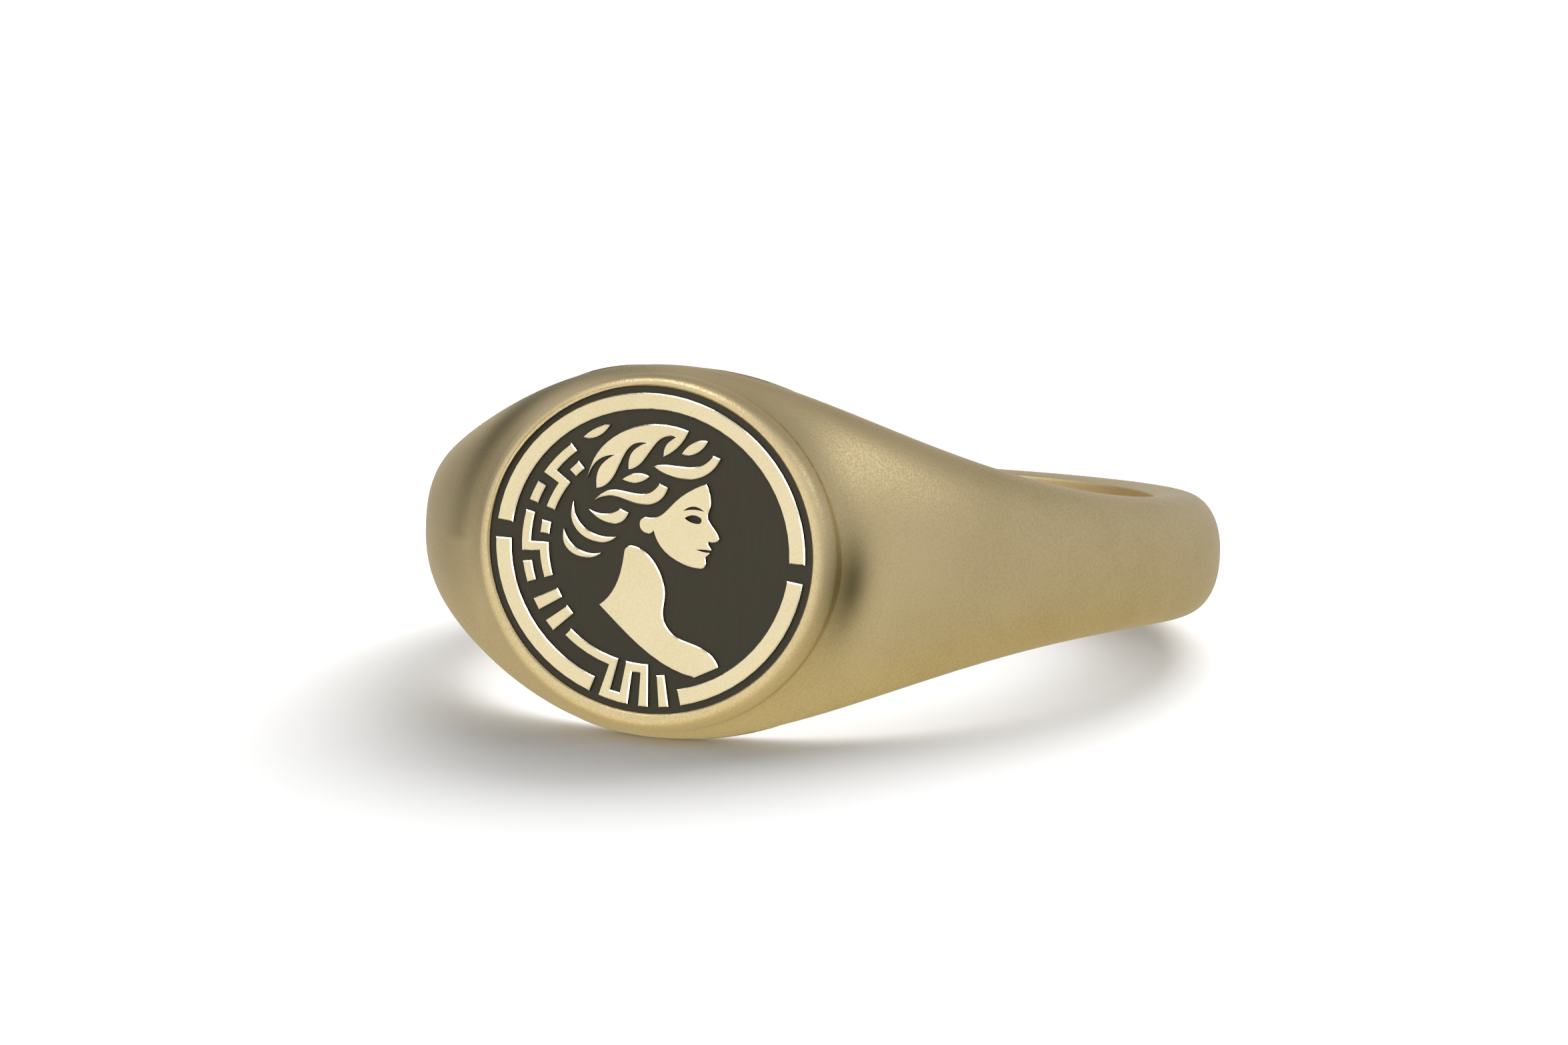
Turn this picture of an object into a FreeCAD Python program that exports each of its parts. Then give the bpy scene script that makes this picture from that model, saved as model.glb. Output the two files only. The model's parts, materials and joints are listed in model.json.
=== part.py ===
# Signet ring with an oval seal: a tapered hoop, a seal plate with a sunk field, dark enamel in the
# field, and gold motifs that stand on the field's floor. It lies on its side, hoop down, as on a table.
# Everything is first built in the ring's own axes: X to the wearer's right, Y from the seal to the
# back of the hoop, Z along the finger, with the centre of the finger hole at zero. The seal is worked
# out flat, X right, Y up, Z out of the face, in units of the oval field (1 = the edge of the field).
import FreeCAD, Part
import os
from math import atan2, cos, degrees, pi, radians, sin

from FreeCAD import Placement, Rotation, Vector

os.makedirs("parts", exist_ok=True)

# ---- driving dimensions, millimetres ----
BORE_RADIUS = 9.5          # 19 mm inside, a large finger
FACE_DISTANCE = 11.38      # centre of the finger hole to the flat of the seal
PLATE_HALF_WIDTH = 5.52    # oval seal plate, around the hoop
PLATE_HALF_HEIGHT = 4.95   # oval seal plate, along the finger
PLATE_DEPTH = 1.35         # the plate is let into a seat in the hoop
RIM_RADIUS = 0.30          # rounding of the seal plate's edge
HEAD_HALF_WIDTH = 5.17     # hoop along the finger, under the seal
BACK_HALF_WIDTH = 1.76     # hoop along the finger, at the back
WIDTH_TAPER = 6.3          # how fast the hoop narrows away from the seal
SHOULDER_THICKNESS = 2.16
BACK_THICKNESS = 1.62
THICKNESS_TAPER = 3.0      # how fast the hoop gains thickness away from the back
CREST_SHARE = 0.38         # share of the thickness between the bore and the widest line
OUTER_ROUNDNESS = 2.25     # 2 is an ellipse, more is squarer
INNER_ROUNDNESS = 2.2
BORE_ALLOWANCE = 1.0       # how far the sections reach into the bore before the bore is cut
BORE_EDGE_RADIUS = 0.3
SECTION_COUNT = 18         # sections round one half of the hoop
SECTION_POINTS = 20
SECTION_END = radians(60)  # how far a section goes on round its inner edge

FIELD_HALF_WIDTH = 4.98    # sunk oval field of the seal
FIELD_HALF_HEIGHT = 4.50
FIELD_TURN = -5.0          # degrees, the design is set slightly turned on the plate
FIELD_RIGHT = -0.02
FIELD_UP = 0.08
FIELD_DEPTH = 0.45
ENAMEL_BELOW_FACE = 0.10
MOTIF_BEVEL = 0.03
FACE_BEVEL = 0.02          # finer, so that the lips keep their shape
SMALL_FACETS = 8           # the eye and brow are cut with a fine graver, in short straight strokes

BAR = 0.058                # width of the key pattern's bars, in field units
KEY_OUTER = 0.795          # outer edge of the key pattern
KEY_INNER = 0.625          # inner edge of the key pattern
KEY_START = 134.0          # degrees from the right of the field
KEY_PITCH = 37.2           # one repeat of the key pattern
KEY_GAP = 4.6              # degrees of enamel between neighbouring bars
BORDER_OUTER = 0.958
BORDER_INNER = 0.860


# ---- outlines on the seal, in field units ----
def spot(right, up):
    """A place on the field, in millimetres."""
    return Vector(right * FIELD_HALF_WIDTH, up * FIELD_HALF_HEIGHT, 0)


def polar(radius, angle):
    """A place on the field from its share of the field's radius and its angle."""
    turn = radians(angle)
    return spot(radius * cos(turn), radius * sin(turn))


def oval_arc(radius, start, end):
    """The edge along an oval that is concentric with the field."""
    oval = Part.Ellipse(Vector(), radius * FIELD_HALF_WIDTH, radius * FIELD_HALF_HEIGHT)
    arc = Part.ArcOfEllipse(oval, radians(min(start, end)), radians(max(start, end)))
    return arc.toShape()


def line(a, b):
    return Part.LineSegment(a, b).toShape()


def band(inner, outer, start, end):
    """A bar that follows the field's oval, with square ends."""
    edges = [
        oval_arc(inner, start, end),
        line(polar(inner, end), polar(outer, end)),
        oval_arc(outer, start, end),
        line(polar(outer, start), polar(inner, start)),
    ]
    return Part.Face(Part.Wire(Part.__sortEdges__(edges)))


def outline(start, *runs, facets=0):
    """A closed shape: each run goes on from the last corner, straight to one point or curved through more.

    With facets, a curved run is cut into that many straight pieces.
    """
    edges = []
    corner = start
    for run in runs:
        points = [spot(*corner)] + [spot(*point) for point in run]
        if len(points) == 2:
            edges.append(line(*points))
        else:
            curve = Part.BSplineCurve()
            curve.interpolate(points)
            bend = curve.toShape()
            bends = bend.discretize(facets + 1) if facets else []
            edges += [line(a, b) for a, b in zip(bends, bends[1:])] or [bend]
        corner = run[-1]
    return Part.Face(Part.Wire(edges))


def leaf(base, tip, left, right):
    """A blade with two arched sides; left and right are how far each side bows from the middle line."""
    a = spot(*base)
    b = spot(*tip)
    across = Vector(-(b - a).y, (b - a).x, 0)
    middle = (a + b) * 0.5
    sides = [Part.Arc(a, middle + across * left, b), Part.Arc(b, middle - across * right, a)]
    return Part.Face(Part.Wire([side.toShape() for side in sides]))


def joined(*faces):
    """Several overlapping shapes as one."""
    return faces[0].multiFuse(list(faces[1:])).removeSplitter()


# ---- the key pattern and the border ----
def key_pieces():
    """Two repeats of a stepped bar with a short bar nested on each side of it."""
    pieces = {}
    leg = KEY_GAP
    for repeat in range(2):
        first = KEY_START + repeat * KEY_PITCH
        step = first + 0.375 * KEY_PITCH
        last = first + KEY_PITCH - KEY_GAP
        stepped = joined(
            band(KEY_OUTER - BAR, KEY_OUTER, first, step + leg),
            band(KEY_INNER, KEY_OUTER, step, step + leg),
            band(KEY_INNER, KEY_INNER + BAR, step, last),
        )
        pieces[f"key_step_{repeat + 1}"] = stepped
        pieces[f"key_inner_bar_{repeat + 1}"] = band(KEY_INNER, KEY_INNER + BAR, first + 2.5, step - KEY_GAP)
        pieces[f"key_outer_bar_{repeat + 1}"] = band(KEY_OUTER - BAR, KEY_OUTER, step + leg + KEY_GAP, last)
    return pieces


def cross_bars():
    """Two plain bars that cross the key pattern's band."""
    first = KEY_START + 2 * KEY_PITCH + 3.0
    pitch = 11.0
    width = 5.6
    return {
        f"key_cross_bar_{i + 1}": band(KEY_INNER, KEY_OUTER, first + i * pitch, first + i * pitch + width)
        for i in range(2)
    }


def key_wave():
    """A square wave that fills the gap in the border, and its plain end bar."""
    outer = BORDER_OUTER
    inner = 0.70
    leg = 3.7
    starts = [257.6 + 7.6 * i for i in range(4)]
    wave = joined(
        band(inner, inner + BAR, 233.0, starts[0] + leg),
        band(inner, outer, starts[0], starts[0] + leg),
        band(outer - BAR, outer, starts[0], starts[1] + leg),
        band(inner, outer, starts[1], starts[1] + leg),
        band(inner, inner + BAR, starts[1], starts[2] + leg),
        band(inner, outer, starts[2], starts[2] + leg),
    )
    return {"key_wave": wave, "key_end_bar": band(inner + 0.065, outer, starts[3], starts[3] + leg)}


def border():
    return {
        "border_arc_upper": band(BORDER_INNER, BORDER_OUTER, 4.0, 178.0),
        "border_arc_lower_left": band(BORDER_INNER, BORDER_OUTER, 184.6, 254.0),
        "border_arc_lower_right": band(BORDER_INNER, BORDER_OUTER, 288.5, 357.0),
    }


# ---- hair, laurel and bust ----
def hair():
    crown = outline(
        (-0.428, 0.378),
        [(-0.34, 0.61), (-0.18, 0.73), (0.0, 0.774), (0.16, 0.758)],
        [(0.108, 0.655), (0.022, 0.579)],
        [(0.028, 0.65), (0.088, 0.708)],
        [(-0.005, 0.685), (-0.075, 0.575), (-0.183, 0.469)],
        [(-0.180, 0.565), (-0.085, 0.645)],
        [(-0.190, 0.605), (-0.245, 0.475), (-0.367, 0.323)],
        [(-0.362, 0.455), (-0.27, 0.545)],
        [(-0.375, 0.495), (-0.428, 0.378)],
    )
    forelock = outline(
        (-0.035, 0.512),
        [(0.08, 0.535), (0.21, 0.545), (0.325, 0.634)],
        [(0.372, 0.622)],
        [(0.28, 0.50), (0.12, 0.462), (-0.035, 0.512)],
    )
    temple_lock = outline(
        (-0.368, 0.249),
        [(-0.24, 0.333), (-0.10, 0.330), (0.018, 0.414)],
        [(0.073, 0.396)],
        [(0.01, 0.295), (-0.10, 0.267), (-0.23, 0.288), (-0.368, 0.249)],
    )
    side_curl = outline(
        (-0.396, 0.188),
        [(-0.29, 0.176), (-0.205, 0.223)],
        [(-0.150, 0.205)],
        [(-0.20, 0.135), (-0.285, 0.124), (-0.396, 0.188)],
    )
    upper_curl = outline(
        (-0.496, 0.222),
        [(-0.44, 0.095), (-0.34, 0.042), (-0.205, 0.050)],
        [(-0.33, -0.006), (-0.47, 0.06), (-0.496, 0.222)],
    )
    lower_curl = outline(
        (-0.538, 0.047),
        [(-0.47, -0.045), (-0.40, -0.076), (-0.289, -0.066)],
        [(-0.38, -0.112), (-0.50, -0.08), (-0.538, 0.047)],
    )
    return {
        "hair_crown": crown,
        "hair_forelock": forelock,
        "hair_temple_lock": temple_lock,
        "hair_side_curl": side_curl,
        "hair_nape_curl_upper": upper_curl,
        "hair_nape_curl_lower": lower_curl,
        "laurel_leaf_front": leaf((0.129, 0.609), (0.284, 0.716), 0.17, 0.17),
        "laurel_leaf_middle": leaf((-0.22, 0.40), (-0.047, 0.446), 0.15, 0.15),
        "laurel_leaf_back": leaf((-0.49, 0.615), (-0.325, 0.724), 0.10, 0.16),
    }


def bust():
    shape = outline(
        (-0.268, -0.383),
        [(-0.175, -0.235), (-0.152, -0.10), (-0.150, -0.035)],
        [(-0.135, 0.0), (-0.085, 0.008), (-0.02, -0.015), (0.085, -0.125), (0.132, -0.26), (0.134, -0.38),
         (0.20, -0.48), (0.36, -0.53), (0.509, -0.637)],
        [(0.367, -0.726)],
        [(0.20, -0.69), (0.0, -0.585), (-0.268, -0.383)],
    )
    return {"bust": shape}


# ---- the face: hairline to brow, brow to nose and nose to chin are three equal parts ----
FACE_PART = 0.173          # one of the three equal parts, in field units
CHIN_UP = -0.062
FACE_PLANE = 0.335         # the upright line from forehead to chin


def face():
    nose_base = CHIN_UP + FACE_PART
    brow = CHIN_UP + 2 * FACE_PART
    hairline = CHIN_UP + 3 * FACE_PART
    mouth = CHIN_UP + FACE_PART * 2 / 3
    plane = FACE_PLANE
    return outline(
        (plane - 0.030, hairline),
        [(plane + 0.004, brow + 0.10), (plane + 0.010, brow + 0.03), (plane + 0.002, brow - 0.02),
         (plane + 0.030, brow - 0.07), (plane + 0.079, nose_base + 0.045), (plane + 0.086, nose_base + 0.024),
         (plane + 0.064, nose_base + 0.004), (plane + 0.026, nose_base)],
        [(plane + 0.028, nose_base - 0.022), (plane + 0.046, mouth + 0.014), (plane + 0.026, mouth)],
        [(plane + 0.038, mouth - 0.014), (plane + 0.018, mouth - 0.040), (plane + 0.024, CHIN_UP + 0.046),
         (plane + 0.016, CHIN_UP + 0.014), (plane - 0.022, CHIN_UP), (plane - 0.12, CHIN_UP + 0.012),
         (plane - 0.24, CHIN_UP + 0.072), (plane - 0.318, nose_base + 0.012)],
        [(plane - 0.35, nose_base - 0.012), (plane - 0.40, nose_base + 0.012),
         (plane - 0.408, nose_base + 0.055), (plane - 0.375, nose_base + 0.086)],
        [(plane - 0.28, nose_base + 0.118), (plane - 0.20, brow + 0.045), (plane - 0.13, brow + 0.112),
         (plane - 0.030, hairline)],
    )


def mouth_line():
    """A level slit that opens between the lips."""
    mouth = CHIN_UP + FACE_PART * 2 / 3
    return outline(
        (FACE_PLANE + 0.060, mouth + 0.007),
        [(FACE_PLANE + 0.060, mouth - 0.007)],
        [(FACE_PLANE + 0.010, mouth - 0.009), (FACE_PLANE - 0.045, mouth - 0.001)],
        [(FACE_PLANE + 0.010, mouth + 0.007), (FACE_PLANE + 0.060, mouth + 0.007)],
    )


def eye_opening():
    """An almond that is blunt towards the front."""
    brow = CHIN_UP + 2 * FACE_PART
    level = brow - 0.050
    return outline(
        (FACE_PLANE - 0.135, level - 0.004),
        [(FACE_PLANE - 0.085, level + 0.023), (FACE_PLANE - 0.036, level + 0.012)],
        [(FACE_PLANE - 0.030, level - 0.008), (FACE_PLANE - 0.042, level - 0.024)],
        [(FACE_PLANE - 0.085, level - 0.025), (FACE_PLANE - 0.135, level - 0.004)],
        facets=SMALL_FACETS,
    )


def brow_line():
    """A calm, even arch above the eye."""
    brow = CHIN_UP + 2 * FACE_PART
    return outline(
        (FACE_PLANE - 0.150, brow - 0.012),
        [(FACE_PLANE - 0.085, brow + 0.026), (FACE_PLANE - 0.020, brow + 0.004)],
        [(FACE_PLANE - 0.085, brow + 0.006), (FACE_PLANE - 0.150, brow - 0.012)],
        facets=SMALL_FACETS,
    )


# ---- from flat shapes to solids on the seal ----
def standing(shape, height):
    """A flat shape made into a solid that stands on the floor of the field."""
    solid = shape.Faces[0].extrude(Vector(0, 0, height))
    solid.translate(Vector(0, 0, -FIELD_DEPTH))
    return solid


def raised(shape, bevel):
    """A motif as high as the face of the seal, with its upper edge bevelled."""
    solid = standing(shape, FIELD_DEPTH)
    upper = [edge for edge in solid.Edges if all(abs(v.Z) < 1e-6 for v in edge.Vertexes)]
    return solid.makeChamfer(bevel, upper)


def oval_prism(half_width, half_height, low, high):
    oval = Part.Ellipse(Vector(0, 0, low), half_width, half_height)
    return Part.Face(Part.Wire(oval.toShape())).extrude(Vector(0, 0, high - low))


ON_PLATE = Placement(Vector(FIELD_RIGHT, FIELD_UP, 0), Rotation(Vector(0, 0, 1), FIELD_TURN))
ON_RING = Placement(Vector(0, -FACE_DISTANCE, 0), Rotation(Vector(1, 0, 0), 90))


def placed(shape, *placements):
    for placement in placements:
        shape = shape.transformed(placement.toMatrix())
    return shape


# ---- the gold hoop and the seal plate ----
def hoop_section(angle):
    """One section of the hoop, at an angle round the finger from the seal.

    A curve runs up one side, over the outside and down the other, and a straight line closes it
    inside the bore, where the cut of the bore takes it away.
    """
    share = (1 + cos(angle)) / 2
    width = BACK_HALF_WIDTH + (HEAD_HALF_WIDTH - BACK_HALF_WIDTH) * share**WIDTH_TAPER
    gain = 1 - (1 - share) ** THICKNESS_TAPER
    thickness = BACK_THICKNESS + (SHOULDER_THICKNESS - BACK_THICKNESS) * gain
    crest = BORE_RADIUS + CREST_SHARE * thickness
    points = []
    for i in range(SECTION_POINTS + 1):
        turn = -SECTION_END + (pi + 2 * SECTION_END) * i / SECTION_POINTS
        outside = sin(turn) >= 0
        power = 2 / (OUTER_ROUNDNESS if outside else INNER_ROUNDNESS)
        rise = (1 - CREST_SHARE) * thickness if outside else -(CREST_SHARE * thickness + BORE_ALLOWANCE)
        along = width * (1 if cos(turn) >= 0 else -1) * abs(cos(turn)) ** power
        radius = crest + rise * abs(sin(turn)) ** power
        points.append(Vector(radius * sin(angle), -radius * cos(angle), along))
    curve = Part.BSplineCurve()
    curve.interpolate(Points=points, Parameters=[i / SECTION_POINTS for i in range(SECTION_POINTS + 1)])
    return Part.Wire([curve.toShape(), line(points[-1], points[0])])


def shank():
    sections = [hoop_section(pi * i / SECTION_COUNT) for i in range(SECTION_COUNT + 1)]
    half = Part.makeLoft(sections, True)
    hoop = half.fuse(half.mirror(Vector(), Vector(1, 0, 0)))
    seat = oval_prism(PLATE_HALF_WIDTH, PLATE_HALF_HEIGHT, -PLATE_DEPTH, 2)
    bore = Part.makeCylinder(BORE_RADIUS, 14, Vector(0, 0, -7))
    body = hoop.cut(placed(seat, ON_RING)).cut(bore)
    wall = [face for face in body.Faces if isinstance(face.Surface, Part.Cylinder)]
    mouth = [edge for face in wall for edge in face.Edges if not isinstance(edge.Curve, Part.Line)]
    return body.makeFillet(BORE_EDGE_RADIUS, mouth)


def head_plate():
    plate = oval_prism(PLATE_HALF_WIDTH, PLATE_HALF_HEIGHT, -PLATE_DEPTH, 0)
    rim = [edge for edge in plate.Edges if abs(edge.CenterOfMass.z) < 1e-6]
    plate = plate.makeFillet(RIM_RADIUS, rim)
    field = oval_prism(FIELD_HALF_WIDTH, FIELD_HALF_HEIGHT, -FIELD_DEPTH, 1)
    return plate.cut(placed(field, ON_PLATE))


def seal_pieces():
    """Every gold motif and enamel piece, flat on the seal."""
    enamel_height = FIELD_DEPTH - ENAMEL_BELOW_FACE
    openings = {"eye_enamel": eye_opening(), "brow_enamel": brow_line()}
    shapes = {**border(), **key_pieces(), **cross_bars(), **key_wave(), **hair(), **bust(), "face": face()}
    bevels = {"face": FACE_BEVEL}
    pieces = {name: raised(shape, bevels.get(name, MOTIF_BEVEL)) for name, shape in shapes.items()}
    for opening in (*openings.values(), mouth_line()):
        pieces["face"] = pieces["face"].cut(standing(opening, FIELD_DEPTH))
    ground = oval_prism(FIELD_HALF_WIDTH, FIELD_HALF_HEIGHT, -FIELD_DEPTH, -ENAMEL_BELOW_FACE)
    for shape in shapes.values():
        ground = ground.cut(standing(shape, enamel_height))
    slit = standing(mouth_line(), enamel_height).common(standing(shapes["face"], enamel_height))
    for name, shape in openings.items():
        pieces[name] = standing(shape, enamel_height)
    return {"enamel_ground": ground.fuse(slit).removeSplitter(), **pieces}


# ---- the whole ring, laid on its side ----
nodes = {"shank": shank(), "head_plate": placed(head_plate(), ON_RING)}
nodes.update({name: placed(piece, ON_PLATE, ON_RING) for name, piece in seal_pieces().items()})

LEAN = atan2(HEAD_HALF_WIDTH - BACK_HALF_WIDTH, 2 * BORE_RADIUS + BACK_THICKNESS)
lying = Placement(Vector(), Rotation(Vector(1, 0, 0), -degrees(LEAN)))
nodes = {name: placed(shape, lying) for name, shape in nodes.items()}
box = FreeCAD.BoundBox()
for shape in nodes.values():
    box.add(shape.optimalBoundingBox(False))
rest = Placement(Vector(-box.Center.x, -box.Center.y, -box.ZMin), Rotation())

for name, shape in nodes.items():
    shape = placed(shape, rest)
    solids = len(shape.Solids)
    print(name, "valid", shape.isValid(), "solids", solids, "volume", round(shape.Volume, 3))
    shape.exportStep(f"parts/{name}.step")
print("lean", round(degrees(LEAN), 4), "moved by", rest.Base)
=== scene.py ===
# %% [markdown]
# # A signet ring with an enamelled seal
#
# The ring is a tapered hoop of satin gold that widens into two shoulders. The shoulders carry an oval
# seal plate with a soft, rounded rim. The middle of the plate is sunk and filled with dark enamel, and
# polished gold motifs stand up out of the enamel: a broken border, a key pattern, and a head with
# laurel in its hair. The solids come packed from the workshop model, in metres. This file gives
# them finer surfaces and finishes, without changing a size.

# %% Start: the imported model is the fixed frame
import json

import bmesh
import bpy
import numpy as np
from mathutils import Matrix, Vector


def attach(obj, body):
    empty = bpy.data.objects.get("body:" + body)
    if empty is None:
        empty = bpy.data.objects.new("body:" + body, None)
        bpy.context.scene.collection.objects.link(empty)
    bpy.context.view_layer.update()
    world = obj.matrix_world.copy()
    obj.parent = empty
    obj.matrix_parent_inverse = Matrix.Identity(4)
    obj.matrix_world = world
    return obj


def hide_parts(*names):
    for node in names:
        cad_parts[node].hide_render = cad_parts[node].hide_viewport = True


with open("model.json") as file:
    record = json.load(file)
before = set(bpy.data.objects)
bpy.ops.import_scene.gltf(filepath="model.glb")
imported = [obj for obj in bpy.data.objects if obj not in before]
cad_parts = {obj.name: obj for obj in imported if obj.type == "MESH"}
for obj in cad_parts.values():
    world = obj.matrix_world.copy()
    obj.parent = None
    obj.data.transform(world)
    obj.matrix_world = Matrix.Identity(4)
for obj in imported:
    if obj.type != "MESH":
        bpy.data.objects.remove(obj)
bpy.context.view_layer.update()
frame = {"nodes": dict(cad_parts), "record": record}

print("nodes", len(frame["nodes"]))

# %% [markdown]
# ## The ring's own axes
#
# The ring lies on its side, a little tipped, because the head is wider than the back of the hoop. It is
# much easier to describe in its own axes: X to the right when the seal is faced, Y from the seal to
# the back, Z along the finger, and zero in the middle of the finger hole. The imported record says
# where the hole and the face of the seal are, so the axes come from there.

# %% Axes from the finger hole and the face of the seal
mounts = {mount["name"]: mount for mount in frame["record"]["mounts"]}
hole_middle = np.array(mounts["finger_bore"]["pos_m"])
finger_way = np.array(mounts["finger_bore"]["axis"])
back_way = -np.array(mounts["seal_face"]["axis"])
right_way = np.cross(back_way, finger_way)
ring_axes = np.array([right_way, back_way, finger_way])
MM = 0.001
BORE = mounts["finger_bore"]["dims"]["r_mm"]
FACE = float((np.array(mounts["seal_face"]["pos_m"]) - hole_middle) @ -back_way) / MM


def on_ring(points):
    """Ring millimetres (right, back, along the finger) to the frame's metres: middle + axes * point."""
    return hole_middle + MM * np.asarray(points) @ ring_axes


print("bore radius", BORE, "face distance", round(FACE, 3))

# %% [markdown]
# ## Camera
#
# The camera looks at the seal from the right, nearly level with the ring, with a long lens, so the hoop
# runs away to the right with little perspective. Its place is given round the ring: a turn from
# the face, a rise above the ring's middle plane, a small roll, and a distance.

# %% The camera
CAMERA_TURN, CAMERA_RISE, CAMERA_ROLL = np.radians([25.56, 3.46, 2.35])
CAMERA_DISTANCE = 175.05
AIM_RIGHT, AIM_UP = 1.2125, -0.4198
LENS = 137.76


def camera_axes(turn, rise, roll):
    """Right, up and backward directions of a camera that stands round the ring."""
    back = np.array([np.sin(turn) * np.cos(rise), -np.cos(turn) * np.cos(rise), np.sin(rise)])
    right = np.array([np.cos(turn), np.sin(turn), 0.0])
    up = np.cross(back, right)
    return np.array([
        np.cos(roll) * right + np.sin(roll) * up,
        -np.sin(roll) * right + np.cos(roll) * up,
        back,
    ])


view = camera_axes(CAMERA_TURN, CAMERA_RISE, CAMERA_ROLL)
place = on_ring(np.array([-AIM_RIGHT, -AIM_UP, CAMERA_DISTANCE]) @ view)
turned = (view @ ring_axes).T
camera = bpy.data.objects.new("camera", bpy.data.cameras.new("camera"))
camera.data.lens = LENS
camera.data.sensor_width = 36.0
camera.data.clip_start = 0.01
camera.matrix_world = Matrix([[*turned[row], place[row]] for row in range(3)] + [[0, 0, 0, 1]])
bpy.context.collection.objects.link(camera)
bpy.context.scene.camera = camera
bpy.context.scene.view_settings.view_transform = "Standard"
print("camera", np.round(place, 4), "height of view", round(float(np.degrees(np.arcsin(turned[2, 2]))), 2))

# %% [markdown]
# ## Surfaces from grids
#
# Every new surface is a grid of points: rows run one way and columns the other. A closed ring of rows
# joins its last row to the first. The points are worked out for the whole grid at once.

# %% A grid of points made into a smooth mesh
def grid_faces(rows, columns, close_rows, close_columns):
    """Four-sided faces between neighbours of a grid, wrapped round where a direction is closed."""
    row = np.arange(rows if close_rows else rows - 1)[:, None]
    column = np.arange(columns if close_columns else columns - 1)[None, :]
    next_row = (row + 1) % rows
    next_column = (column + 1) % columns
    corners = [row * columns + column, next_row * columns + column,
               next_row * columns + next_column, row * columns + next_column]
    return np.stack([corner.ravel() for corner in corners], axis=1)


def outward_volume(mesh):
    """Volume in cubic millimetres, which comes out positive when the faces point outwards."""
    solid = bmesh.new()
    solid.from_mesh(mesh)
    volume = solid.calc_volume(signed=True)
    solid.free()
    return volume / MM**3


def piece_from_grid(name, points, close_rows, close_columns, flip=False, capped=False):
    """One object from a grid of ring points.

    Flip turns its faces the other way; capped fills the first and last rings with one face each.
    """
    rows, columns = points.shape[:2]
    way = -1 if flip else 1
    faces = grid_faces(rows, columns, close_rows, close_columns)[:, ::way].tolist()
    if capped:
        ring = np.arange(columns)
        faces += [ring[::way].tolist(), (ring[::-way] + (rows - 1) * columns).tolist()]
    mesh = bpy.data.meshes.new(name)
    mesh.from_pydata(on_ring(points.reshape(-1, 3)).tolist(), [], faces)
    mesh.polygons.foreach_set("use_smooth", np.ones(len(faces), bool))
    piece = bpy.data.objects.new(name, mesh)
    bpy.context.collection.objects.link(piece)
    print(name, "points", rows * columns, "faces", len(faces), "volume", round(outward_volume(mesh), 1), "mm3")
    return piece


# %% [markdown]
# ## The hoop
#
# The hoop is a ring of sections. Each section is a soft oval: rounder outside, squarer inside, flat where it
# meets the finger. Its half width falls from the head to the back with a power of
# (1 + cos angle) / 2, so the shoulders pull in quickly and the back stays slim. A bent cylinder with
# loop cuts could make it too, but the formula keeps every size exact. Polishing takes a trace off it.

# %% The hoop's dimensions
HEAD_HALF_WIDTH, BACK_HALF_WIDTH, WIDTH_TAPER = 5.17, 1.76, 6.3
SHOULDER_THICKNESS, BACK_THICKNESS, THICKNESS_TAPER = 2.16, 1.62, 3.0
CREST_SHARE, OUTER_ROUNDNESS, INNER_ROUNDNESS, BORE_ALLOWANCE = 0.38, 2.25, 2.2, 1.0
BORE_SOFTNESS = 0.05
POLISH = 0.003
SEAT_CLEARANCE, SEAT_EDGE = 0.02, 0.02
FIRST_RADIUS, TRIALS = 12.0, 20
PLATE_HALF_WIDTH, PLATE_HALF_HEIGHT, PLATE_DEPTH = 5.52, 4.95, 1.35


def hoop_section(around):
    """Half width, thickness and crest radius of the section at an angle round the finger."""
    share = (1 + np.cos(around)) / 2
    width = BACK_HALF_WIDTH + (HEAD_HALF_WIDTH - BACK_HALF_WIDTH) * share**WIDTH_TAPER
    gain = 1 - (1 - share) ** THICKNESS_TAPER
    thickness = BACK_THICKNESS + (SHOULDER_THICKNESS - BACK_THICKNESS) * gain
    return width, thickness, BORE + CREST_SHARE * thickness


def hoop_points(around, across):
    """The hoop as a function of two angles, round the finger and round its section.

    Radius = crest + rise * |sin across| ^ (2 / roundness), with a soft floor at the bore;
    along the finger = half width * cos across, bent by the same roundness.
    """
    width, thickness, crest = hoop_section(around)
    outside = np.sin(across) >= 0
    power = np.where(outside, 2 / OUTER_ROUNDNESS, 2 / INNER_ROUNDNESS)
    inward = CREST_SHARE * thickness + BORE_ALLOWANCE
    rise = np.where(outside, (1 - CREST_SHARE) * thickness - POLISH, -inward)
    radius = crest + rise * np.abs(np.sin(across)) ** power
    radius = BORE + BORE_SOFTNESS * np.logaddexp(0, (radius - BORE) / BORE_SOFTNESS)
    along = (width - POLISH) * np.sign(np.cos(across)) * np.abs(np.cos(across)) ** power
    return np.stack([radius * np.sin(around), -radius * np.cos(around), along + 0 * radius], axis=-1)


def hoop_depth(right, along):
    """How far the hoop's outside lies below the face, over a place on the seal.

    The angle round the finger is settled by trial: radius from the angle, angle from the radius.
    """
    around = np.arcsin(right / FIRST_RADIUS)
    for _ in range(TRIALS):
        width, thickness, crest = hoop_section(around)
        flat = np.clip(np.abs(along) / width, 0, 1) ** OUTER_ROUNDNESS
        radius = crest + (1 - CREST_SHARE) * thickness * np.sqrt(1 - flat) ** (2 / OUTER_ROUNDNESS)
        around = np.arcsin(np.clip(right / radius, -1, 1))
    return FACE - radius * np.cos(around)


def oval_share(points):
    """0 in the middle of the plate, 1 on its edge, more beyond: the length of (right / a, up / b)."""
    return np.hypot(points[..., 0] / PLATE_HALF_WIDTH, points[..., 2] / PLATE_HALF_HEIGHT)


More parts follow.
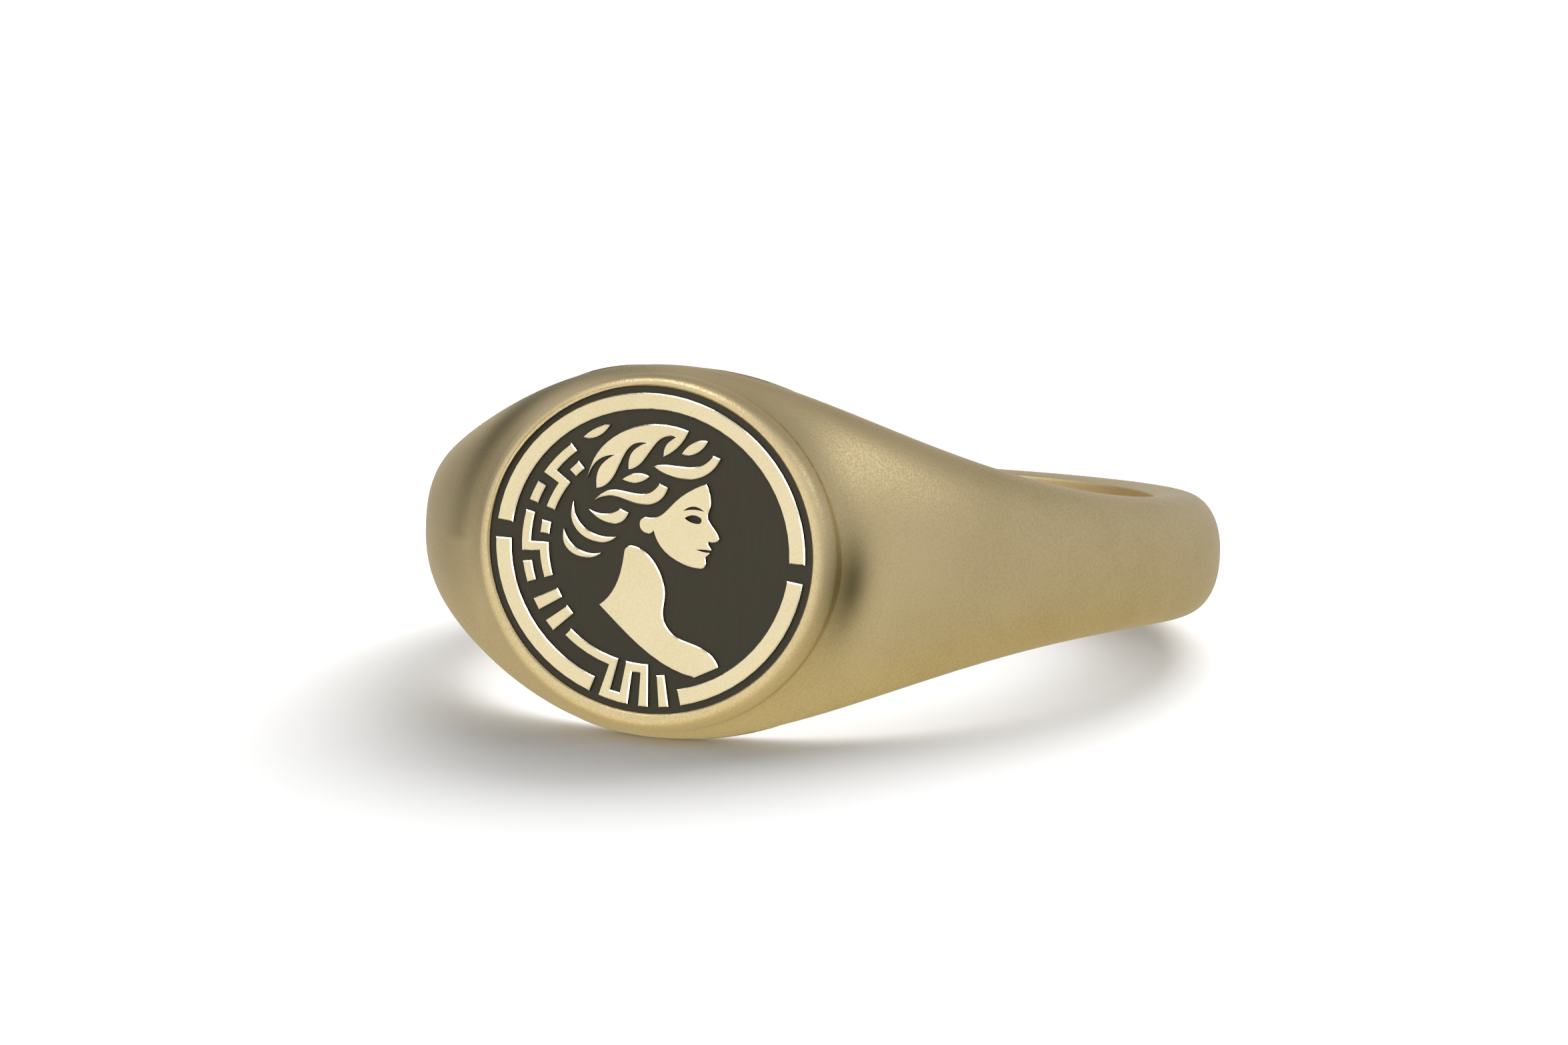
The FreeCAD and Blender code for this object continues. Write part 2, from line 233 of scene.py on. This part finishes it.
def sunk_under_plate(points):
    """Lowers what the plate covers to the floor of the plate's seat, so nothing shows through."""
    under = np.clip((1 - oval_share(points)) / SEAT_EDGE, 0, 1)
    seat = -(FACE - PLATE_DEPTH + SEAT_CLEARANCE)
    back = points[..., 1]
    shaped = points.copy()
    shaped[..., 1] = np.where(back < seat, back + (seat - back) * under, back)
    return shaped


print("hoop width at the back", 2 * BACK_HALF_WIDTH, "and at the head", 2 * HEAD_HALF_WIDTH, "mm")

# %% [markdown]
# ## Painted shade and reflection
#
# Shade and a dark reflection are painted into the gold's colour: painted shade in the hollow right of the
# plate and a painted dark reflection in a band round its upper left. It could be painted by hand on the mesh;
# instead each point gets a number from its place, which the gold finish reads as an attribute. The same rule
# marks the hoop and the plate, so the painted tone runs on across the joint.

# %% Painted shade and dark reflection on the shoulders
HOLLOW_ANGLE, HOLLOW_SPREAD, HOLLOW_OUT, HOLLOW_WIDTH = -6, 15, 0.20, 0.34
BAND_ANGLE, BAND_SPREAD, BAND_DEPTH = 138, 42, 0.9
BAND_START, BAND_DRIFT, BAND_WIDTH, BAND_WIDENING = 95, 0.0195, 0.25, 0.0045
FRONT = -0.6 * BORE


def bell(away, width):
    """1 in the middle and nearly 0 beyond twice the width: exp(-(away / width)^2)."""
    return np.exp(-((away / width) ** 2))


def painted_shade_and_reflection_on(points):
    """Where shade and a dark reflection are painted, 0 to 1: painted shade in the hollow right of the plate
    and a painted dark reflection in a band round its upper left.

    The band moves away from the plate as it turns left: its distance grows with the angle. Both are bell
    curves of the angle times bell curves of the distance. The rule takes every point in front of FRONT,
    so it also tints a little of the finger hole's wall.
    """
    angle = np.degrees(np.arctan2(points[..., 2] / PLATE_HALF_HEIGHT, points[..., 0] / PLATE_HALF_WIDTH))
    oval = np.maximum(oval_share(points), 0.01)
    beyond = np.hypot(points[..., 0], points[..., 2]) * (1 - 1 / oval)
    turn = angle - BAND_START
    hollow = bell(angle - HOLLOW_ANGLE, HOLLOW_SPREAD) * bell(beyond - HOLLOW_OUT, HOLLOW_WIDTH)
    band_width = BAND_WIDTH + BAND_WIDENING * turn.clip(0, 70)
    band = BAND_DEPTH * bell(angle - BAND_ANGLE, BAND_SPREAD) * bell(beyond - BAND_DRIFT * turn, band_width)
    return np.maximum(hollow, band) * (points[..., 1] < FRONT)


def marked(piece, **marks):
    """Stores numbers from 0 to 1 on a piece's points, for its material to read."""
    for name, values in marks.items():
        store = piece.data.attributes.new(name, "FLOAT", "POINT")
        store.data.foreach_set("value", np.clip(values, 0, 1).ravel().astype(np.float32))
        print(piece.name, name, "share of points over a tenth", round(float((values > 0.1).mean()), 3))


# %% The hoop's surface
SECTIONS, SECTION_POINTS, CROWDING = 720, 128, 0.55
steps = np.linspace(0, 2 * np.pi, SECTIONS, endpoint=False)
around = (steps - CROWDING * np.sin(steps))[:, None]        # sections stand closer near the head
across = np.linspace(0, 2 * np.pi, SECTION_POINTS, endpoint=False)[None, :]
surface = sunk_under_plate(hoop_points(around, across))
hoop = piece_from_grid("hoop", surface, True, True, flip=True)
# The hoop's points carry painted shade in the hollow and a painted dark reflection in the band.
marked(hoop, patina=painted_shade_and_reflection_on(surface))

# %% [markdown]
# ## The seal plate
#
# The plate is one profile carried round an oval: from the middle of the sunk floor, up the wall of the
# field with a small polished bevel, over the flat border, round the soft rim, and out over the shoulders
# in a hollow fillet, as solder or wax fills the corner between two pieces. The fillet starts upright at
# the rim and dies away flat on the hoop, so the seam doesn't show. It is deepest on the right. The field is
# set slightly turned on the plate, so the profile blends from the field's oval to the plate's oval.

# %% The plate's surface
FIELD_HALF_WIDTH, FIELD_HALF_HEIGHT, FIELD_DEPTH = 4.98, 4.50, 0.45
FIELD_TURN, FIELD_RIGHT, FIELD_UP = np.radians(-5.0), -0.02, 0.08
FIELD_BEVEL = 0.055
RIM_WIDTH_ENDS, RIM_WIDTH_SIDES, RIM_HEIGHT = 0.30, 0.47, 0.46
FILLET_ENDS, FILLET_SIDES, FILLET_SWELL = 0.19, 1.25, 1.6
CREASE_DEPTH, CREASE_FALL = 0.7, 2.4
PLATE_COLUMNS = 512
FLOOR_INSETS, WALL_DEPTHS = (4.3, 2.5, 0.9, 0.1, 0.0), (0.30, 0.15, FIELD_BEVEL + 0.01)
BEVEL_RINGS, BORDER_RINGS, RIM_RINGS, FILLET_RINGS = 5, 5, 16, 26
RIM_FOOT = len(FLOOR_INSETS) + len(WALL_DEPTHS) + BEVEL_RINGS + BORDER_RINGS + RIM_RINGS - 1


def field_edge(angle, inset):
    """The field's oval, drawn in by an inset: turned by FIELD_TURN about its own middle."""
    right = (FIELD_HALF_WIDTH - inset) * np.cos(angle)
    up = (FIELD_HALF_HEIGHT - inset) * np.sin(angle)
    return (right * np.cos(FIELD_TURN) - up * np.sin(FIELD_TURN) + FIELD_RIGHT,
            right * np.sin(FIELD_TURN) + up * np.cos(FIELD_TURN) + FIELD_UP)


def plate_edge(angle, inset):
    """The plate's oval, drawn in by an inset."""
    turned_angle = angle + FIELD_TURN
    return ((PLATE_HALF_WIDTH - inset) * np.cos(turned_angle),
            (PLATE_HALF_HEIGHT - inset) * np.sin(turned_angle))


def ring_of(edge, angle, inset, depth):
    """One ring of points on an oval, at a depth below the face."""
    right, up = edge(angle, inset)
    return np.stack([right, -FACE + depth + 0 * right, up], axis=-1)


def hump(angle, middle, reach):
    """1 at an angle on the rim and nearly 0 beyond its reach, both in degrees: a bell curve."""
    return bell(np.degrees(np.angle(np.exp(1j * (angle + FIELD_TURN - np.radians(middle))))), reach)


def fillet_rings(angle, shares):
    """Rings of the fillet, from the rim (share 0) out to the hoop (share 1).

    Depth = the hoop's depth - height * (1 - sqrt(1 - (1 - share)^3)), which is upright at the rim and
    dies away flat; where there is a crease it gives way to a straighter slope.
    """
    turned_angle = angle + FIELD_TURN
    reach = FILLET_ENDS + (FILLET_SIDES - FILLET_ENDS) * np.abs(np.cos(turned_angle)) ** FILLET_SWELL
    crease = hump(angle, 42, 22) + 0.6 * hump(angle, -36, 14)
    foot = RIM_HEIGHT + 0.02 + 0.22 * hump(angle, -5, 16)
    height = hoop_depth(*plate_edge(angle, 0.0)) - foot
    rings = []
    for share in shares:
        right, up = plate_edge(angle, -share * reach)
        hollow = 1 - np.sqrt(1 - (1 - share) ** 3)
        slope = hollow + CREASE_DEPTH * ((1 - share) ** CREASE_FALL - hollow) * crease
        depth = hoop_depth(right, up) - height * slope + 0.012 * share**4
        rings.append(np.stack([right, -FACE + depth, up], axis=-1))
    return rings


def plate_points(columns):
    """The rings of the plate's profile, from the middle of the floor to the underside's middle."""
    angle = np.linspace(0, 2 * np.pi, columns, endpoint=False)
    rings = [ring_of(field_edge, angle, inset, FIELD_DEPTH) for inset in FLOOR_INSETS]
    rings += [ring_of(field_edge, angle, 0.0, depth) for depth in WALL_DEPTHS]
    bevel = np.linspace(0, 1, BEVEL_RINGS)
    rings += [ring_of(field_edge, angle, -FIELD_BEVEL * t, FIELD_BEVEL * (1 - t)) for t in bevel]
    inner = ring_of(field_edge, angle, -FIELD_BEVEL - 0.005, 0.0)
    rim = RIM_WIDTH_ENDS + (RIM_WIDTH_SIDES - RIM_WIDTH_ENDS) * np.abs(np.cos(angle + FIELD_TURN))
    outer = ring_of(plate_edge, angle, rim + 0.005, 0.0)
    rings += [inner + (outer - inner) * t for t in np.linspace(0, 1, BORDER_RINGS)]
    turns = np.linspace(0, np.pi / 2, RIM_RINGS)
    rings += [ring_of(plate_edge, angle, rim * (1 - np.sin(t)), RIM_HEIGHT * (1 - np.cos(t))) for t in turns]
    rings += fillet_rings(angle, np.linspace(0.03, 1, FILLET_RINGS) ** 2)
    rings += [ring_of(plate_edge, angle, inset, PLATE_DEPTH) for inset in (0.25, 1.0, 2.5, 4.3)]
    return np.array(rings)


# %% The plate as a mesh
LINE_WIDTH = 0.05


def crease_shade_line(points, columns):
    """A brown line of painted shade along the rim's foot, where it meets the fillet: a bell curve across the
    profile.
    """
    angle = np.linspace(0, 2 * np.pi, columns, endpoint=False)
    strides = np.linalg.norm(np.diff(points, axis=0), axis=2)
    travelled = np.concatenate([np.zeros((1, columns)), np.cumsum(strides, axis=0)])
    from_foot = travelled - travelled[RIM_FOOT]
    ragged = 0.6 + 0.4 * np.sin(37 * angle) * np.sin(91 * angle + 1)
    return (hump(angle, 38, 20) + 0.6 * hump(angle, -36, 9)) * ragged * bell(from_foot, LINE_WIDTH)


profile = plate_points(PLATE_COLUMNS)
plate = piece_from_grid("seal_plate", profile, False, True, capped=True)
# The plate's points carry painted shade in the hollow, a painted dark reflection in the band, and a brown line
# of painted shade along the crease.
marked(plate, patina=painted_shade_and_reflection_on(profile), crease=crease_shade_line(profile, PLATE_COLUMNS))

# %% [markdown]
# ## Finishes
#
# The hoop is blasted with fine sand and then tumbled, so it shines softly without mirror reflections and
# shows a fine grain. The raised shapes are flatter and paler, with burnished bevels that are painted pale as
# a painted highlight, and walls darkened as painted shade. A flat image of metal could be wrapped on, but
# noise on Object coordinates has no seams and holds up at any distance. A few helpers come first, because
# each finish is built from the same kinds of node.

# %% Helpers for node materials
def node_adder(tree):
    """A function that adds a node to a tree and sets its inputs by name, or by number as i0, i1."""
    def add(kind, settings=(), **inputs):
        node = tree.nodes.new(kind)
        for key, value in dict(settings).items():
            setattr(node, key, value)
        for key, value in inputs.items():
            socket = node.inputs[int(key[1:])] if key.startswith("i") else node.inputs[key]
            if isinstance(value, bpy.types.NodeSocket):
                tree.links.new(value, socket)
            else:
                socket.default_value = value
        return node

    return add


def new_finish(name):
    """An empty material with its shader, its links and its node adder."""
    finish = bpy.data.materials.new(name)
    finish.use_nodes = True
    tree = finish.node_tree
    tree.nodes.clear()
    shader = tree.nodes.new("ShaderNodeBsdfPrincipled")
    output = tree.nodes.new("ShaderNodeOutputMaterial")
    tree.links.new(shader.outputs["BSDF"], output.inputs["Surface"])
    print("finish", name)
    return finish, shader, tree.links, node_adder(tree)


def spots(add, place, size, detail=2.0, roughness=0.5):
    """Cloudy noise whose spots are about this many metres across."""
    noise = add("ShaderNodeTexNoise", Vector=place, Scale=1 / size, Detail=detail, Roughness=roughness)
    return noise.outputs["Fac"]


def spread(add, value, low, high, start=0.0, end=1.0):
    """A number stretched from start..end to low..high."""
    node = add("ShaderNodeMapRange", i0=value, i1=start, i2=end, i3=low, i4=high)
    return node.outputs[0]


def two_tone(add, share, one, other):
    """A colour between two, by share; either may come from another node."""
    one, other = [tone if isinstance(tone, bpy.types.NodeSocket) else (*tone, 1) for tone in (one, other)]
    return add("ShaderNodeMix", {"data_type": "RGBA"}, i0=share, i6=one, i7=other).outputs[2]


# %% Satin gold
def satin_gold(name, pale, deep, low, high, grain):
    """Blasted gold: cloudy colour, a fine pale and dark speckle, and the same grain in the bump."""
    finish, shader, links, add = new_finish(name)
    place = add("ShaderNodeTexCoord").outputs["Object"]
    cloud = spread(add, spots(add, place, 2.5e-3, 3.0), 0, 0.7, 0.3, 0.7)
    fine = spots(add, place, 6.0e-5, 2.0, 0.6)
    speckle = spread(add, fine, -0.45, 0.55, 0.32, 0.68)
    share = add("ShaderNodeMath", {"operation": "ADD", "use_clamp": True}, i0=cloud, i1=speckle).outputs[0]
    shader.inputs["Metallic"].default_value = 1.0
    bump = add("ShaderNodeBump", Height=fine, Strength=grain, Distance=1.5e-5)
    links.new(bump.outputs["Normal"], shader.inputs["Normal"])
    colour, roughness = two_tone(add, share, pale, deep), spread(add, fine, low, high, 0.3, 0.7)
    return finish, shader, links, add, colour, roughness


def hoop_finish():
    """Satin gold with painted shade in the hollow, a painted dark reflection in the band and a brown line of
    painted shade in the crease, where the piece has them.
    """
    finish, shader, links, add, colour, roughness = satin_gold(
        "gold_satin", (0.76, 0.62, 0.36), (0.66, 0.53, 0.29), 0.34, 0.47, 0.45)
    # The gold is darkened towards brown where shade and a dark reflection are painted, and browned along the
    # crease as painted shade.
    for mark, tone in (("patina", (0.20, 0.165, 0.08)), ("crease", (0.50, 0.29, 0.09))):
        share = add("ShaderNodeAttribute", {"attribute_name": mark}).outputs["Fac"]
        colour = two_tone(add, share, colour, tone)
    links.new(colour, shader.inputs["Base Color"])
    links.new(roughness, shader.inputs["Roughness"])
    return finish


def motif_finish():
    """Brighter gold: level tops brushed flat, bevels burnished and painted pale as a painted highlight, walls
    darkened with painted shade.

    How far a surface leans from the face of the seal tells which of the three it is.
    """
    finish, shader, links, add, colour, roughness = satin_gold(
        "gold_bright", (0.84, 0.73, 0.48), (0.78, 0.66, 0.41), 0.24, 0.34, 0.12)
    normal = add("ShaderNodeNewGeometry").outputs["True Normal"]
    lean = add("ShaderNodeVectorMath", {"operation": "DOT_PRODUCT"}, i0=normal, i1=tuple(-back_way))
    wall = spread(add, lean.outputs["Value"], 1, 0, 0.2, 0.5)
    bevel = spread(add, lean.outputs["Value"], 1, 0, 0.85, 0.97)
    # The pale bevel colour is a painted highlight; the bevels' lower roughness is real burnishing.
    colour = two_tone(add, bevel, colour, (0.97, 0.92, 0.80))
    # The dark brown wall colour is painted shade.
    colour = two_tone(add, wall, colour, (0.22, 0.18, 0.10))
    links.new(colour, shader.inputs["Base Color"])
    links.new(add("ShaderNodeMix", i0=bevel, i2=roughness, i3=0.16).outputs[0], shader.inputs["Roughness"])
    return finish


hoop_gold, motif_gold = hoop_finish(), motif_finish()

# %% [markdown]
# ## The enamel
#
# Enamel is ground glass, melted in the field and rubbed level, so it is smooth but not quite even. It is a
# dark olive brown with faint streaks up the field. Glass could be made see-through, but over dark
# metal only its surface shows, so a dark colour under a soft shine is enough.

# %% Dark enamel
STREAK_STRETCH, STREAK_SIZE = (12.0, 1.0, 1.0), 1.2e-3


def dark_enamel():
    """Fired enamel: olive brown, faint streaks up the field, a soft shine."""
    finish, shader, links, add = new_finish("enamel_dark")
    place = add("ShaderNodeTexCoord").outputs["Object"]
    streak_place = add("ShaderNodeMapping", Vector=place, Scale=STREAK_STRETCH).outputs["Vector"]
    streaks = spots(add, streak_place, STREAK_SIZE, 3.0)
    colour = two_tone(add, streaks, (0.022, 0.018, 0.008), (0.036, 0.029, 0.012))
    links.new(colour, shader.inputs["Base Color"])
    shader.inputs["Specular IOR Level"].default_value = 0.40
    links.new(spread(add, streaks, 0.42, 0.58), shader.inputs["Roughness"])
    bump = add("ShaderNodeBump", Height=streaks, Strength=0.10, Distance=1.0e-5)
    links.new(bump.outputs["Normal"], shader.inputs["Normal"])
    return finish


enamel = dark_enamel()

# %% [markdown]
# ## Finishes on the pieces
#
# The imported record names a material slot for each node, so the finish follows from the slot and no piece can
# be forgotten. The nodes' meshes stay as they are. The two new surfaces ride on the ring's one body and
# stand for the plain hoop and plate, which stay hidden for the simulation.

# %% Every node gets its finish, and the new surfaces stand for the plain ones
def give(piece, finish):
    piece.data.materials.clear()
    piece.data.materials.append(finish)


slot_finish = {"satin_gold": hoop_gold, "bright_gold": motif_gold, "dark_enamel": enamel}
node_slot = {part["node"]: part["material_slot"] for part in frame["record"]["subparts"]}
for name, node in frame["nodes"].items():
    for slot in range(len(node.material_slots)):
        node.material_slots[slot].material = slot_finish[node_slot[name]]

for piece, node in ((hoop, "shank"), (plate, "head_plate")):
    give(piece, hoop_gold)
    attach(piece, "root")
    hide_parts(node)
    print(piece.name, "stands for", node)

for slot in slot_finish:
    print(slot, "is on", sum(own == slot for own in node_slot.values()), "nodes")

# %% [markdown]
# ## Floor, backdrop and light
#
# The ring lies on a white sweep: a floor that curves up behind into a backdrop, so there is no edge. One
# bent sheet does this more simply than a floor and a wall. Gold shows mostly what it reflects, so the
# sweep is kept out of its reflections, and the room's light is set apart from the floor's.

# %% The white sweep
def sweep():
    """A floor that runs level and then curves up on a quarter circle to a wall."""
    turn = np.linspace(0, np.pi / 2, 24)
    radius, run, wall = 0.25, 0.45, 0.9
    along = np.concatenate([[-0.9], run + radius * np.sin(turn), [run + radius]])
    high = np.concatenate([[0.0], radius * (1 - np.cos(turn)), [wall]])
    side = np.array([-1.2, 1.2])
    points = np.stack(np.broadcast_arrays(side[None, :], along[:, None], high[:, None]), axis=-1)
    mesh = bpy.data.meshes.new("sweep")
    rows, columns = points.shape[:2]
    faces = grid_faces(rows, columns, False, False)[:, ::-1].tolist()
    mesh.from_pydata(points.reshape(-1, 3).tolist(), [], faces)
    mesh.polygons.foreach_set("use_smooth", np.ones(len(mesh.polygons), bool))
    floor = bpy.data.objects.new("sweep", mesh)
    bpy.context.collection.objects.link(floor)
    finish, shader, *_ = new_finish("white_paper")
    shader.inputs["Base Color"].default_value = (0.6, 0.6, 0.6, 1)
    shader.inputs["Roughness"].default_value = 0.9
    give(floor, finish)
    floor.visible_glossy = False
    print("sweep", 2 * side[1], "m wide and", wall, "m high")


sweep()


# %% [markdown]
# ## The lights
#
# Two wide soft lights behind the ring light the floor and throw a soft shadow forward. They are
# kept out of reflections. A narrow light above left draws the bright line on the rim, and a weak one on the
# right softens the shoulder. The enamel and the bevels get small lights of their own by light
# linking, as a studio screens each part of a jewel with cards: one light for all would either drown the
# enamel or leave the bevels dull.

# %% The lights
LAMP_DISTANCE = 0.45


def soft_light(name, radiance, width, height, way, distance, glossy=True, diffuse=True, only=()):
    """A rectangle of light that faces the ring from a direction; it may be kept for some pieces only."""
    lamp = bpy.data.lights.new(name, "AREA")
    lamp.shape = "RECTANGLE"
    lamp.size, lamp.size_y = width, height
    lamp.energy = radiance * np.pi * width * height
    light = bpy.data.objects.new(name, lamp)
    way = Vector(way).normalized()
    light.location = way * distance
    light.rotation_euler = way.to_track_quat("Z", "Y").to_euler()
    light.visible_glossy, light.visible_diffuse = glossy, diffuse
    bpy.context.collection.objects.link(light)
    if only:
        lit = bpy.data.collections.new(name + "_lit")
        for piece in only:
            lit.objects.link(piece)
        light.light_linking.receiver_collection = lit
    print(name, "radiance", radiance, "size", width, height)


gold_motifs = [node for name, node in frame["nodes"].items() if node_slot[name] == "bright_gold"]
soft_light("light_floor", 3.6, 0.6, 0.45, (0.10, 0.55, 0.83), 0.55, glossy=False)
soft_light("light_floor_low", 5.6, 0.8, 0.5, (0.12, 0.80, 0.58), 0.55, glossy=False)
soft_light("light_above", 4.5, 0.22, 0.11, (-0.38, -0.36, 0.85), LAMP_DISTANCE, diffuse=False)
soft_light("light_right", 1.2, 0.15, 0.15, (0.60, -0.45, 0.65), LAMP_DISTANCE, diffuse=False)
soft_light("light_enamel", 50.0, 0.06, 0.06, (0.55, -0.60, 0.60), LAMP_DISTANCE, glossy=False,
           only=[frame["nodes"]["enamel_ground"]])
bevel_ways = {"up": (-0.35, -0.10, 0.90), "corner": (0.45, -0.35, 0.80), "right": (0.90, -0.43, 0.10)}
for name, way in bevel_ways.items():
    soft_light("light_bevels_" + name, 3.2, 0.28, 0.28, way, LAMP_DISTANCE, diffuse=False, only=gold_motifs)

# %% [markdown]
# ## The room
#
# Satin gold mirrors the whole room softly, and that is what gives the hoop its slow change from light to
# dark. The room could be an image of a studio, but a grey with a few broad, soft lobes of more or less
# light is enough. Each lobe is a direction, where it starts, and how much it adds or takes away.

# %% The room: bright in front on the left, grey on the right, dark behind the left shoulder
ROOM_LEVEL = 0.58
ROOM_LOBES = (
    ((-0.42, -0.90, 0.10), 0.35, 0.45),
    ((-0.95, 0.30, 0.05), 0.94, -0.45),
    ((0.00, 0.25, 0.97), 0.50, -0.20),
    ((-0.20, -0.40, -0.89), 0.30, 0.12),
)
WARM_FLOOR = (1.0, 0.92, 0.66)


def room():
    """Grey world light: level + the sum of gain * smooth step(way . direction), warmer from below."""
    world = bpy.data.worlds.new("room")
    world.use_nodes = True
    tree = world.node_tree
    add = node_adder(tree)
    way = add("ShaderNodeTexCoord").outputs["Generated"]

    def facing(direction):
        dot = add("ShaderNodeVectorMath", {"operation": "DOT_PRODUCT"}, i0=way, i1=direction)
        return dot.outputs["Value"]

    total = ROOM_LEVEL
    for direction, start, gain in ROOM_LOBES:
        smooth = {"interpolation_type": "SMOOTHSTEP"}
        lobe = add("ShaderNodeMapRange", smooth, i0=facing(direction), i1=start, i4=gain)
        total = add("ShaderNodeMath", {"operation": "ADD"}, i0=total, i1=lobe.outputs[0]).outputs[0]
    warm = spread(add, facing((0, 0, -1)), 0, 1, -0.1, 0.7)
    tree.links.new(two_tone(add, warm, (1, 1, 1), WARM_FLOOR), tree.nodes["Background"].inputs["Color"])
    tree.links.new(total, tree.nodes["Background"].inputs["Strength"])
    bpy.context.scene.world = world
    print("room level", ROOM_LEVEL, "lobes", len(ROOM_LOBES))


room()
